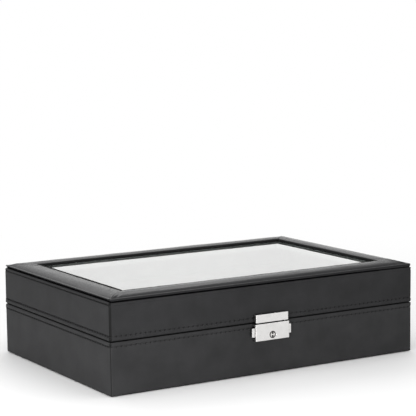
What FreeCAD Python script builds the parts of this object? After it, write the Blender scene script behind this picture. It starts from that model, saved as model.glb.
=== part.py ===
import FreeCAD, Part

import math
import operator
import os

import Sketcher
from FreeCAD import Placement, Rotation, Vector

# A lockable, leather-covered case with a glazed, padded lid and 24 padded cells for cufflinks.
# Millimetres. X runs to the right along the front, Y to the back, Z up; the origin is the
# centre of the underside.

DRIVING_SIZES = {
    # The covered walls
    "box_length": 300,
    "box_depth": 200,
    "base_height": 44.2,
    "lid_gap": 0.3,
    "lid_wall": 31,
    "leather": 0.8,
    "board": 7,
    "floor_board": 3,
    "lining": 0.8,
    "turn_in": 10,
    "felt": 0.5,
    "felt_inset": 3,
    "corner_round": 1.5,
    "rim_bevel": 0.4,
    # The fitted interior
    "divider": 2.4,
    "divider_height": 33.7,
    "lap_clearance": 0.1,
    "cushion_height": 15,
    "cushion_clearance": 0.4,
    "cushion_bevel": 3,
    # The glazed top: an inset is measured in from the box's side
    "glass": 2.5,
    "glass_clearance": 0.3,
    "retainer_height": 3.5,
    "retainer_lip": 2,
    "pad_width": 23,
    "pad_overlap": 5,
    "pad_height": 2,
    "pad_shoulder": 1.7,
    "pad_roll": 1.2,
    "pad_inset": 0.6,
    "pad_skirt": 1.6,
    "pad_shadow_gap": 1.2,
    # The butt hinges and their stops
    "hinge_inset": 55,
    "hinge_length": 30,
    "leaf": 1,
    "leaf_inset": 7,
    "leaf_clearance": 0.1,
    "knuckle_radius": 2,
    "knuckle_length": 10,
    "knuckle_gap": 0.1,
    "pin_radius": 0.8,
    "pin_clearance": 0.06,
    "stop_reach": 3.6,
    "stop_width": 1,
    "stop_clearance": 0.15,
    # The lock: a drop is measured down from the top of its case
    "plate": 0.8,
    "face_clearance": 0.3,
    "edge_round": 0.5,
    "case_width": 33.4,
    "case_height": 14.4,
    "case_depth": 4.5,
    "case_rim_drop": 0.6,
    "keyway_drop": 9.9,
    "barrel_radius": 3.5,
    "barrel_end": 1.4,
    "plug_head_radius": 2.75,
    "plug_head_depth": 1.8,
    "plug_radius": 2.3,
    "tang_radius": 1.6,
    "plug_clearance": 0.05,
    "prong_hole_width": 1.7,
    "prong_hole_height": 1.45,
    "prong_hole_depth": 3,
    "prong_bar": 1,
    "cam": 1.2,
    "cam_reach": 7,
    "cam_width": 3,
    "cam_screw_radius": 0.8,
    # The two push-buttons with their hooks
    "button_drop": 3,
    "button_height": 7.6,
    "button_thickness": 2.2,
    "button_proud": 2.7,
    "button_travel": 2,
    "lug_height": 1.2,
    "lug_width": 1.2,
    "hook_reach": 11.3,
    "hook_width": 1.3,
    "hook_nose": 0.4,
    "hook_thickness": 0.7,
    "tab_width": 1.6,
    "tab_height": 3,
    "spring_radius": 1,
    "spring_wire": 0.3,
    "spring_clearance": 1,
    "spring_seat": 1.5,
    # The hasp on the lid
    "hasp_width": 32,
    "hasp_height": 7,
    "hasp_depth": 4.2,
    "strike": 1,
    "strike_leg": 0.8,
    "strike_lip": 1,
    "latch_clearance": 0.2,
    # The key, lying in the front right cell
    "bow_radius": 7.25,
    "bow_rim": 1.3,
    "bow_thickness": 2.4,
    "bow_recess": 0.4,
    "bow_hole_radius": 2.25,
    "bow_hole_offset": 2.6,
    "shoulder_width": 7,
    "shoulder_length": 3,
    "blade_width": 4.8,
    "blade_length": 9.7,
    "blade_groove_width": 1.2,
    "blade_groove_depth": 0.4,
    "key_play": 0.1,
    "key_clearance": 0.3,
}
COLUMNS = 6
ROWS = 4
LID_STOP_ANGLE = 60
BASE_STOP_ANGLE = -63

doc = FreeCAD.newDocument("CufflinkBox")
sheet = doc.addObject("Spreadsheet::Sheet", "Sizes")


class Size:
    """A length as a number, together with the sheet expression that gives it."""

    def __init__(self, value, text):
        self.value = value
        self.text = text

    def joined(self, other, sign, work):
        if not isinstance(other, Size):
            other = Size(other, repr(other))
        return Size(work(self.value, other.value), f"({self.text} {sign} {other.text})")

    def __add__(self, other):
        return self.joined(other, "+", operator.add)

    def __sub__(self, other):
        return self.joined(other, "-", operator.sub)

    def __mul__(self, other):
        return self.joined(other, "*", operator.mul)

    def __truediv__(self, other):
        return self.joined(other, "/", operator.truediv)

    def __neg__(self):
        return self * -1


def fill_sheet():
    """Put each driving size in a cell of its own and hand the sizes back by name."""
    sizes = {}
    for row, (name, value) in enumerate(DRIVING_SIZES.items(), start=1):
        sheet.set(f"A{row}", name)
        sheet.set(f"B{row}", str(value))
        sheet.setAlias(f"B{row}", name)
        sizes[name] = Size(value, f"{sheet.Name}.{name}")
    doc.recompute()
    return sizes


class Names:
    """The driving sizes, read as attributes."""

    def __init__(self, sizes):
        self.__dict__.update(sizes)


size = Names(fill_sheet())
ZERO = Size(0, "0")

# Derived places, all from the sheet
half_length = size.box_length / 2
half_depth = size.box_depth / 2
wall = size.leather + size.board
inner = wall + size.lining
board_low = size.felt + size.leather
board_high = size.base_height - size.leather
floor_top = size.felt + size.floor_board
cell_floor = floor_top + size.lining
divider_top = cell_floor + size.divider_height
cushion_top = cell_floor + size.cushion_height
lid_low = size.base_height + size.lid_gap
lid_high = lid_low + size.lid_wall
glass_top = lid_high + size.glass
pad_top = glass_top + size.pad_height
cell_length = (size.box_length - inner * 2 - size.divider * (COLUMNS - 1)) / COLUMNS
cell_depth = (size.box_depth - inner * 2 - size.divider * (ROWS - 1)) / ROWS
axis_y = half_depth + size.knuckle_radius + size.face_clearance
axis_z = size.base_height + size.lid_gap / 2
glass_inset = size.pad_width - size.pad_overlap
rail_inset = size.pad_inset + size.pad_skirt
front = -half_depth
board_front = front + size.leather

sub_parts = []


def sub_part(kind, label):
    """A document object that becomes a piece of the case under its label."""
    piece = doc.addObject(kind, label)
    piece.Label = label
    sub_parts.append(piece)
    return piece


def point(place):
    return Vector(place[0].value, place[1].value, 0)


def lock_point(sketch, geometry, end, place):
    """Tie one point of a sketch to the sheet in both directions."""
    for way, length in zip(("DistanceX", "DistanceY"), place):
        rule = Sketcher.Constraint(way, geometry, end, length.value)
        index = sketch.addConstraint(rule)
        sketch.setExpression(f"Constraints[{index}]", length.text)


def draw_outline(sketch, corners):
    """A closed outline of straight lines through the corners."""
    first = sketch.GeometryCount
    for here, there in zip(corners, corners[1:] + corners[:1]):
        sketch.addGeometry(Part.LineSegment(point(here), point(there)))
    for step, corner in enumerate(corners):
        before = first + (step - 1) % len(corners)
        sketch.addConstraint(Sketcher.Constraint("Coincident", before, 2, first + step, 1))
        lock_point(sketch, first + step, 1, corner)


def draw_circle(sketch, centre, radius):
    """A circle about a tied centre."""
    circle = Part.Circle(point(centre), Vector(0, 0, 1), radius.value)
    geometry = sketch.addGeometry(circle)
    lock_point(sketch, geometry, 3, centre)
    index = sketch.addConstraint(Sketcher.Constraint("Radius", geometry, radius.value))
    sketch.setExpression(f"Constraints[{index}]", radius.text)


def new_sketch(body, role, level, outlines=(), circles=()):
    """A sketch on one of the body's origin planes, moved out to a level along its normal."""
    sketch = body.newObject("Sketcher::SketchObject", "Sketch")
    plane = next(item for item in body.Origin.OriginFeatures if item.Role == role)
    sketch.AttachmentSupport = [(plane, "")]
    sketch.MapMode = "FlatFace"
    sketch.setExpression("AttachmentOffset.Base.z", level.text)
    for corners in outlines:
        draw_outline(sketch, corners)
    for centre, radius in circles:
        draw_circle(sketch, centre, radius)
    return sketch


def extrude(body, kind, role, low, high, outlines=(), circles=()):
    """Add or cut a prism that stands between two levels along the sketch plane's axis."""
    faces_back = role == "XZ_Plane"
    level = -high if faces_back else low
    sketch = new_sketch(body, role, level, outlines, circles)
    before = body.Shape.Volume if kind == "PartDesign::Pocket" else 0
    feature = body.newObject(kind, kind.split("::")[1])
    feature.Profile = sketch
    feature.setExpression("Length", (high - low).text)
    if kind == "PartDesign::Pocket":
        feature.Reversed = True
    doc.recompute()
    if kind == "PartDesign::Pocket" and not body.Shape.Volume < before:
        raise ValueError(f"{body.Label}: a pocket cuts nothing")
    return feature


def pad(body, role, low, high, outlines=(), circles=()):
    return extrude(body, "PartDesign::Pad", role, low, high, outlines, circles)


def pocket(body, role, low, high, outlines=(), circles=()):
    return extrude(body, "PartDesign::Pocket", role, low, high, outlines, circles)


def rectangle(low_x, low_y, high_x, high_y):
    return [(low_x, low_y), (high_x, low_y), (high_x, high_y), (low_x, high_y)]


def mirrored_pair(low, high, bottom, top):
    """Two rectangles, one each side of the centre line."""
    return [rectangle(low, bottom, high, top), rectangle(-high, bottom, -low, top)]


def slab(label, low_x, low_y, low_z, high_x, high_y, high_z):
    """A body that is one rectangular block between two opposite corners."""
    body = sub_part("PartDesign::Body", label)
    pad(body, "XY_Plane", low_z, high_z, [rectangle(low_x, low_y, high_x, high_y)])
    return body


def ring(label, section):
    """A band swept round the box with mitred corners; the section's points are given
    as (inset from the box's side, height)."""
    body = sub_part("PartDesign::Body", label)
    route = [
        (half_length, ZERO),
        (half_length, half_depth),
        (-half_length, half_depth),
        (-half_length, -half_depth),
        (half_length, -half_depth),
    ]
    path = new_sketch(body, "XY_Plane", ZERO, [route])
    corners = [(half_length - inset, height) for inset, height in section]
    profile = new_sketch(body, "XZ_Plane", ZERO, [corners])
    doc.recompute()
    sweep = body.newObject("PartDesign::AdditivePipe", "Sweep")
    sweep.Profile = profile
    sweep.Spine = (path, [f"Edge{step + 1}" for step in range(len(route))])
    sweep.Transition = "Right corner"
    doc.recompute()
    return body


def round_edges(body, radius, wanted):
    """Round every edge of the body's present shape that the test accepts."""
    base = body.Tip
    names = [f"Edge{n}" for n, edge in enumerate(body.Shape.Edges, start=1) if wanted(edge)]
    fillet = body.newObject("PartDesign::Fillet", "Fillet")
    fillet.Base = (base, names)
    fillet.setExpression("Radius", radius.text)
    doc.recompute()


def chamfer_edges(body, width, wanted):
    """Bevel every edge of the body's present shape that the test accepts."""
    base = body.Tip
    names = [f"Edge{n}" for n, edge in enumerate(body.Shape.Edges, start=1) if wanted(edge)]
    chamfer = body.newObject("PartDesign::Chamfer", "Chamfer")
    chamfer.Base = (base, names)
    chamfer.setExpression("Size", width.text)
    doc.recompute()


def near(one, other):
    return abs(one - other) < 1e-6


def runs_along(edge, axis):
    """True for an edge that is parallel to the named axis."""
    box = edge.BoundBox
    spans = {"x": box.XLength, "y": box.YLength, "z": box.ZLength}
    return all(name == axis or span < 1e-6 for name, span in spans.items())


def place(piece, x, y, z, turn=Rotation()):
    """Set a primitive's direction and tie its position to the sheet."""
    piece.Placement = Placement(Vector(), turn)
    for way, length in zip("xyz", (x, y, z)):
        piece.setExpression(f"Placement.Base.{way}", length.text)


# ---------------------------------------------------------------- hinge and lock places
hinge_centres = [size.hinge_inset - half_length, half_length - size.hinge_inset]
half_case = size.case_width / 2
case_high = size.base_height - size.case_rim_drop
case_low = case_high - size.case_height
case_front = front - size.case_depth
case_inside = case_front + size.plate
plate_front = front - size.plate
plate_half = half_case - size.plate
plate_low = case_low + size.plate
plate_high = case_high - size.plate
keyway_z = case_high - size.keyway_drop
keyway = (ZERO, keyway_z)
barrel_back = front + size.barrel_end
cam_front = barrel_back + size.plug_clearance * 2
cam_back = cam_front + size.cam
cam_screw_back = cam_back + size.plate
mortise_end = cam_screw_back + size.face_clearance
button_front = case_inside + size.face_clearance
button_back = button_front + size.button_thickness
button_high = case_high - size.button_drop
button_low = button_high - size.button_height
button_inner = size.barrel_radius + size.button_travel + size.spring_clearance
spring_z = keyway_z + size.barrel_radius + size.spring_clearance + size.spring_radius
tab_inner = size.cam_reach + size.button_travel + size.face_clearance
tab_outer = tab_inner + size.tab_width
tab_high = button_low + size.tab_height
slot_low = button_low - size.face_clearance
slot_high = tab_high + size.face_clearance
slot_inner = tab_inner - size.button_travel - size.face_clearance
slot_outer = tab_outer + size.face_clearance
half_hasp = size.hasp_width / 2
hasp_high = lid_low + size.hasp_height
strike_low = lid_low + size.plate
strike_high = hasp_high - size.plate
strike_front = front - size.strike
lip_low = button_high + size.face_clearance
lip_reach = size.hook_reach + size.latch_clearance
leg_inner = lip_reach + size.strike_lip
leg_outer = leg_inner + size.strike_leg


def leaf_seats(body, low, high):
    """Shallow seats in the rear rim for both hinge leaves."""
    for centre in hinge_centres:
        half = size.hinge_length / 2
        seat = rectangle(
            centre - half, half_depth - size.leaf_inset, centre + half, half_depth + size.leaf
        )
        pocket(body, "XY_Plane", low, high, [seat])


def is_box_corner(edge):
    """True for an upright edge at one of the four outer corners."""
    middle = edge.CenterOfMass
    at_side = near(abs(middle.x), half_length.value)
    return runs_along(edge, "z") and at_side and near(abs(middle.y), half_depth.value)


def outer_rim_at(level):
    """A test for the outer edges of a wrap, with their corner arcs, at one height."""

    def wanted(edge):
        box = edge.BoundBox
        flat = near(box.ZMin, level.value) and near(box.ZMax, level.value)
        across = abs(edge.CenterOfMass.x) > (half_length - size.corner_round).value
        along = abs(edge.CenterOfMass.y) > (half_depth - size.corner_round).value
        return flat and (across or along)

    return wanted


# ---------------------------------------------------------------- the base's walls
def make_wall_boards(part, low, high):
    """Four boards that butt at the corners; returns the front and the rear one."""
    long_end = half_length - size.leather
    short_end = half_depth - wall
    face = half_depth - size.leather
    outer, back = half_length - size.leather, half_length - wall
    front_board = slab(f"{part}_front_board", -long_end, -face, low, long_end, -short_end, high)
    rear_board = slab(f"{part}_rear_board", -long_end, short_end, low, long_end, face, high)
    slab(f"{part}_left_board", -outer, -short_end, low, -back, short_end, high)
    slab(f"{part}_right_board", back, -short_end, low, outer, short_end, high)
    return front_board, rear_board


def make_base():
    front_board, rear_board = make_wall_boards("base", board_low, board_high)
    bore = size.cam_reach + size.face_clearance
    pocket(front_board, "XZ_Plane", board_front, mortise_end, circles=[(keyway, bore)])
    slot = rectangle(-slot_outer, slot_low, slot_outer, slot_high)
    pocket(front_board, "XZ_Plane", board_front, mortise_end, [slot])
    leaf_seats(rear_board, size.base_height - size.leaf, board_high)

    room_x, room_y = half_length - wall, half_depth - wall
    slab("base_floor_board", -room_x, -room_y, size.felt, room_x, room_y, floor_top)
    foot_x, foot_y = half_length - size.felt_inset, half_depth - size.felt_inset
    slab("bottom_felt", -foot_x, -foot_y, ZERO, foot_x, foot_y, size.felt)


def make_base_leather():
    """The leather from under the box, up the walls, over the rim and down inside."""
    turn_low = size.base_height - size.turn_in
    section = [
        (ZERO, size.felt),
        (ZERO, size.base_height),
        (inner, size.base_height),
        (inner, turn_low),
        (wall, turn_low),
        (wall, board_high),
        (size.leather, board_high),
        (size.leather, board_low),
        (wall, board_low),
        (wall, size.felt),
    ]
    wrap = ring("base_leather_wrap", section)
    round_edges(wrap, size.corner_round, is_box_corner)
    chamfer_edges(wrap, size.rim_bevel, outer_rim_at(size.base_height))
    pocket(wrap, "XZ_Plane", front, board_front, circles=[(keyway, size.barrel_radius)])
    slot = rectangle(-slot_outer, slot_low, slot_outer, slot_high)
    pocket(wrap, "XZ_Plane", front, board_front, [slot])
    leaf_seats(wrap, size.base_height - size.leaf, size.base_height)


def make_base_linings():
    turn_low = size.base_height - size.turn_in
    ring("base_lining", rectangle(wall, floor_top, inner, turn_low))
    room_x, room_y = half_length - inner, half_depth - inner
    slab("floor_lining", -room_x, -room_y, floor_top, room_x, room_y, cell_floor)


# ---------------------------------------------------------------- the cells
def cell_low(index, end, cell):
    """Where a cell starts, counted up from the low end of the interior."""
    return inner - end + (cell + size.divider) * index


def make_dividers():
    """Dividers that halve into each other where they cross."""
    room_x, room_y = half_length - inner, half_depth - inner
    lap = cell_floor + size.divider_height / 2
    play = size.lap_clearance
    cross_starts = [cell_low(n, half_length, cell_length) - size.divider for n in range(1, COLUMNS)]
    long_starts = [cell_low(n, half_depth, cell_depth) - size.divider for n in range(1, ROWS)]
    for number, start in enumerate(cross_starts, start=1):
        end = start + size.divider
        board = slab(
            f"cross_divider_{number}", start, -room_y, cell_floor, end, room_y, divider_top
        )
        slots = [
            rectangle(low - play, lap, low + size.divider + play, divider_top)
            for low in long_starts
        ]
        pocket(board, "YZ_Plane", start, end, slots)
    for number, start in enumerate(long_starts, start=1):
        end = start + size.divider
        board = slab(
            f"long_divider_{number}", -room_x, start, cell_floor, room_x, end, divider_top
        )
        slots = [
            rectangle(low - play, cell_floor, low + size.divider + play, lap)
            for low in cross_starts
        ]
        pocket(board, "XZ_Plane", start, end, slots)


def make_cushions():
    """One row of padded cushions after another, one cushion to a cell."""
    play = size.cushion_clearance
    for row in range(ROWS):
        low_y = cell_low(row, half_depth, cell_depth)
        high_y = low_y + cell_depth
        starts = [cell_low(column, half_length, cell_length) for column in range(COLUMNS)]
        cushions = [
            rectangle(low_x + play, low_y + play, low_x + cell_length - play, high_y - play)
            for low_x in starts
        ]
        body = sub_part("PartDesign::Body", f"cushion_row_{row + 1}")
        pad(body, "XY_Plane", cell_floor, cushion_top, cushions)
        top = cushion_top.value
        chamfer_edges(body, size.cushion_bevel, lambda edge: near(edge.BoundBox.ZMin, top))


# ---------------------------------------------------------------- the lid
def make_lid():
    low, high = lid_low + size.leather, lid_high - size.leather
    rear_board = make_wall_boards("lid", low, high)[1]
    leaf_seats(rear_board, low, lid_low + size.leaf)


def make_lid_leather():
    """The leather over the lid's walls, on top of them and turned in round the rim."""
    section = [
        (ZERO, lid_low),
        (ZERO, lid_high),
        (wall, lid_high),
        (wall, lid_high - size.leather),
        (size.leather, lid_high - size.leather),
        (size.leather, lid_low + size.leather),
        (wall, lid_low + size.leather),
        (wall, lid_low + size.turn_in),
        (inner, lid_low + size.turn_in),
        (inner, lid_low),
    ]
    wrap = ring("lid_leather_wrap", section)
    round_edges(wrap, size.corner_round, is_box_corner)
    for level in (lid_low, lid_high):
        chamfer_edges(wrap, size.rim_bevel, outer_rim_at(level))
    leaf_seats(wrap, lid_low, lid_low + size.leaf)


def make_top_frame():
    """Four mitred rails that carry the padding and hold the glass in place."""
    outer_x, outer_y = half_length - rail_inset, half_depth - rail_inset
    reach = glass_inset - size.glass_clearance
    inner_x, inner_y = half_length - reach, half_depth - reach
    along = [(-outer_x, -outer_y), (outer_x, -outer_y), (inner_x, -inner_y), (-inner_x, -inner_y)]
    across = [(outer_x, -outer_y), (outer_x, outer_y), (inner_x, inner_y), (inner_x, -inner_y)]
    rails = {
        "top_frame_front": along,
        "top_frame_rear": [(x, -y) for x, y in along],
        "top_frame_right": across,
        "top_frame_left": [(-x, y) for x, y in across],
    }
    for label, corners in rails.items():
        rail = sub_part("PartDesign::Body", label)
        pad(rail, "XY_Plane", lid_high, glass_top, [corners])


def make_glazing():
    reach_x, reach_y = half_length - glass_inset, half_depth - glass_inset
    slab("glass_pane", -reach_x, -reach_y, lid_high, reach_x, reach_y, glass_top)
    retainer_low = lid_high - size.retainer_height
    lip = size.pad_width + size.retainer_lip
    ring("glass_retainer", rectangle(wall, retainer_low, lip, lid_high))
    ring("lid_lining", rectangle(wall, lid_low + size.turn_in, inner, retainer_low))


def make_padded_frame():
    """The stuffed leather border: a skirt over the rails' edge and a low crown on top."""
    shoulder = size.pad_inset + size.pad_shoulder
    edge_drop = size.pad_height / 2
    section = [
        (size.pad_inset, lid_high + size.pad_shadow_gap),
        (size.pad_inset, pad_top - edge_drop),
        (shoulder, pad_top - edge_drop * 0.4),
        (size.pad_width * 0.35, pad_top),
        (size.pad_width - size.pad_roll * 2, pad_top),
        (size.pad_width - size.pad_roll * 0.5, pad_top - size.pad_roll * 0.3),
        (size.pad_width, pad_top - size.pad_roll),
        (size.pad_width, glass_top),
        (rail_inset, glass_top),
        (rail_inset, lid_high + size.pad_shadow_gap),
    ]
    ring("padded_frame", section)


# ---------------------------------------------------------------- the hinges
def fin(centre_y, centre_z, angle, start, end):
    """A stop fin's outline: a strip that points away from the hinge's axis."""
    ahead = (math.cos(math.radians(angle)), math.sin(math.radians(angle)))
    half = size.stop_width / 2
    corners = []
    for reach, side in ((start, -half), (end, -half), (end, half), (start, half)):
        y = centre_y + reach * ahead[0] - side * ahead[1]
        z = centre_z + reach * ahead[1] + side * ahead[0]
        corners.append((y, z))
    return corners


def make_leaf(label, centre, low, neck_spans):
    """A leaf with necks that reach out to knuckles on the hinge's axis."""
    leaf = sub_part("PartDesign::Body", label)
    half = size.hinge_length / 2
    edge = half_depth - size.leaf_clearance
    high = low + size.leaf
    plate = rectangle(centre - half, half_depth - size.leaf_inset, centre + half, edge)
    pad(leaf, "XY_Plane", low, high, [plate])
    for start, end in neck_spans:
        pad(leaf, "XY_Plane", low, high, [rectangle(start, edge, end, axis_y)])
        pad(leaf, "YZ_Plane", start, end, circles=[((axis_y, axis_z), size.knuckle_radius)])
    return leaf


def make_hinge(name, centre):
    """A three-knuckle butt hinge whose fins meet when the lid stands open."""
    axis = (axis_y, axis_z)
    half = size.hinge_length / 2
    half_knuckle = size.knuckle_length / 2
    lid_start = half_knuckle + size.knuckle_gap
    fin_half = half_knuckle + size.knuckle_radius
    fin_root = (size.pin_radius + size.knuckle_radius) / 2

    base_span = (centre - half_knuckle, centre + half_knuckle)
    base_leaf = make_leaf(
        f"hinge_base_leaf_{name}", centre, size.base_height - size.leaf, [base_span]
    )
    base_fin = fin(axis_y, axis_z, BASE_STOP_ANGLE, fin_root, size.stop_reach)
    pad(base_leaf, "YZ_Plane", *base_span, [base_fin])
    pocket(base_leaf, "YZ_Plane", *base_span, circles=[(axis, size.pin_radius)])

    left_span = (centre - half, centre - lid_start)
    right_span = (centre + lid_start, centre + half)
    lid_leaf = make_leaf(f"hinge_lid_leaf_{name}", centre, lid_low, [left_span, right_span])
    bridge = fin(
        axis_y, axis_z, LID_STOP_ANGLE, size.knuckle_radius + size.stop_clearance, size.stop_reach
    )
    root = fin(axis_y, axis_z, LID_STOP_ANGLE, fin_root, size.stop_reach)
    pad(lid_leaf, "YZ_Plane", centre - fin_half, centre - lid_start, [root])
    pad(lid_leaf, "YZ_Plane", centre + lid_start, centre + fin_half, [root])
    pad(lid_leaf, "YZ_Plane", centre - lid_start, centre + lid_start, [bridge])
    bore = size.pin_radius + size.pin_clearance
    for span in (left_span, right_span):
        pocket(lid_leaf, "YZ_Plane", *span, circles=[(axis, bore)])

    pin = sub_part("Part::Cylinder", f"hinge_pin_{name}")
    pin.setExpression("Radius", size.pin_radius.text)
    pin.setExpression("Height", size.hinge_length.text)
    place(pin, centre - half, axis_y, axis_z, Rotation(Vector(0, 1, 0), 90))


# ---------------------------------------------------------------- the lock
def front_edges_of(depth):
    """A test for the outline of a fitting's front face and the corners behind it."""

    def wanted(edge):
        box = edge.BoundBox
        on_front = near(box.YMin, depth.value) and near(box.YMax, depth.value)
        return on_front or runs_along(edge, "y")

    return wanted


def make_back_plate():
    """The lock's plate on the leather, which carries the barrel."""
    plate = slab(
        "lock_back_plate", -plate_half, plate_front, plate_low, plate_half, front, plate_high
    )
    pocket(plate, "XZ_Plane", plate_front, front, circles=[(keyway, size.barrel_radius)])
    slots = mirrored_pair(slot_inner, slot_outer, slot_low, slot_high)
    pocket(plate, "XZ_Plane", plate_front, front, slots)


def make_case():
    """The lock's sheet-metal cover, open at the back."""
    case = slab("lock_case", -half_case, case_front, case_low, half_case, front, case_high)
    round_edges(case, size.edge_round, front_edges_of(case_front))
    hollow = rectangle(-plate_half, plate_low, plate_half, plate_high)
    pocket(case, "XZ_Plane", case_inside, front, [hollow])
    eye = size.plug_head_radius + size.face_clearance
    pocket(case, "XZ_Plane", case_front, case_inside, circles=[(keyway, eye)])
    play = size.face_clearance / 2
    window = rectangle(
        button_front - play, button_low - play, button_back + play, button_high + play
    )
    pocket(case, "YZ_Plane", -half_case, -plate_half, [window])
    pocket(case, "YZ_Plane", plate_half, half_case, [window])
    slots = mirrored_pair(
        lip_reach - size.face_clearance, leg_outer + size.face_clearance, case_inside, plate_front
    )
    pocket(case, "XY_Plane", plate_high, case_high, slots)


def make_barrel():
    """The housing that the plug turns in, with a lug that both springs push against."""
    barrel = sub_part("PartDesign::Body", "lock_barrel")
    pad(barrel, "XZ_Plane", case_inside, barrel_back, circles=[(keyway, size.barrel_radius)])
    lug = rectangle(
        -size.spring_seat,
        keyway_z + size.plug_head_radius,
        size.spring_seat,
        spring_z + size.spring_radius,
    )
    pad(barrel, "XZ_Plane", button_front, button_back, [lug])
    head_end = case_front + size.plug_head_depth + size.plug_clearance
    head_bore = size.plug_head_radius + size.plug_clearance
    pocket(barrel, "XZ_Plane", case_inside, head_end, circles=[(keyway, head_bore)])
    bore = size.plug_radius + size.plug_clearance
    pocket(barrel, "XZ_Plane", case_inside, barrel_back, circles=[(keyway, bore)])


def make_plug():
    """The turning plug with its two prong holes, and the cam screwed to its end."""
    plug = sub_part("PartDesign::Body", "lock_plug")
    head_back = case_front + size.plug_head_depth
    pad(plug, "XZ_Plane", case_front, head_back, circles=[(keyway, size.plug_head_radius)])
    pad(plug, "XZ_Plane", head_back, cam_front, circles=[(keyway, size.plug_radius)])
    pad(plug, "XZ_Plane", cam_front, cam_back, circles=[(keyway, size.tang_radius)])
    half = size.prong_hole_width / 2
    near_edge = size.prong_bar / 2
    far_edge = near_edge + size.prong_hole_height
    holes = [
        rectangle(-half, keyway_z + near_edge, half, keyway_z + far_edge),
        rectangle(-half, keyway_z - far_edge, half, keyway_z - near_edge),
    ]
    pocket(plug, "XZ_Plane", case_front, case_front + size.prong_hole_depth, holes)
    thread = [(keyway, size.cam_screw_radius)]
    pocket(plug, "XZ_Plane", barrel_back, cam_back, circles=thread)

    cam = sub_part("PartDesign::Body", "lock_cam")
    half_cam = size.cam_width / 2
    bar = rectangle(-half_cam, keyway_z - size.cam_reach, half_cam, keyway_z + size.cam_reach)
    pad(cam, "XZ_Plane", cam_front, cam_back, [bar])
    hub = [(keyway, size.plug_radius)]
    pad(cam, "XZ_Plane", cam_front, cam_back, circles=hub)
    pocket(cam, "XZ_Plane", cam_front, cam_back, circles=[(keyway, size.tang_radius)])

    screw = sub_part("PartDesign::Body", "cam_screw")
    pad(screw, "XZ_Plane", cam_back, cam_screw_back, circles=hub)
    pad(screw, "XZ_Plane", barrel_back, cam_back, circles=thread)


def make_button(name, side):
    """A push-button with its shoulder, its hook and the tab that the cam can block.
    Distances are counted out from the centre line, to the left or to the right."""
    outer = half_case + size.button_proud
    shoulder = plate_half - size.face_clearance
    shoulder_inner = shoulder - size.lug_width
    hook_outer = size.hook_reach - size.hook_nose
    hook_inner = hook_outer - size.hook_width
    hook_high = plate_high - size.face_clearance
    nose_low = hook_high - size.hook_thickness
    corners = [
        (outer, button_low),
        (outer, button_high),
        (hook_outer, button_high),
        (hook_outer, nose_low),
        (size.hook_reach, nose_low),
        (size.hook_reach, hook_high),
        (hook_inner, hook_high),
        (hook_inner, button_high),
        (button_inner, button_high),
        (button_inner, button_low),
        (shoulder_inner, button_low),
        (shoulder_inner, button_low - size.lug_height),
        (shoulder, button_low - size.lug_height),
        (shoulder, button_low),
    ]
    button = sub_part("PartDesign::Body", f"{name}_button")
    profile = [(x * side, z) for x, z in corners]
    pad(button, "XZ_Plane", button_front, button_back, [profile])
    end_face = (outer * side).value
    round_edges(button, size.edge_round, lambda edge: near(edge.CenterOfMass.x, end_face))
    tab = rectangle(tab_inner, button_low, tab_outer, tab_high)
    tab_end = cam_back + size.face_clearance
    pad(button, "XZ_Plane", button_back, tab_end, [[(x * side, z) for x, z in tab]])

    spring = sub_part("PartDesign::Body", f"{name}_button_spring")
    middle = ((button_front + button_back) / 2, spring_z)
    ends = [size.spring_seat * side, button_inner * side]
    start, end = ends if side > 0 else reversed(ends)
    inside = size.spring_radius - size.spring_wire
    pad(spring, "YZ_Plane", start, end, circles=[(middle, size.spring_radius), (middle, inside)])


def make_hasp():
    """The hasp's cover on the lid, and the strike plate with its two hooked legs."""
    cover_front = front - size.hasp_depth
    cover = slab("hasp_cover", -half_hasp, cover_front, lid_low, half_hasp, front, hasp_high)
    round_edges(cover, size.edge_round, front_edges_of(cover_front))
    hollow_half = half_hasp - size.plate
    hollow = rectangle(-hollow_half, lid_low - size.plate, hollow_half, strike_high)
    pocket(cover, "XZ_Plane", cover_front + size.plate, front, [hollow])

    strike = slab(
        "strike_plate", -hollow_half, strike_front, strike_low, hollow_half, front, strike_high
    )
    leg_root = strike_low + size.strike * 2
    legs = mirrored_pair(leg_inner, leg_outer, button_front, strike_front)
    pad(strike, "XY_Plane", lip_low, leg_root, legs)
    lips = mirrored_pair(lip_reach, leg_outer, button_front, strike_front)
    pad(strike, "XY_Plane", lip_low, lip_low + size.strike_leg, lips)


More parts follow.
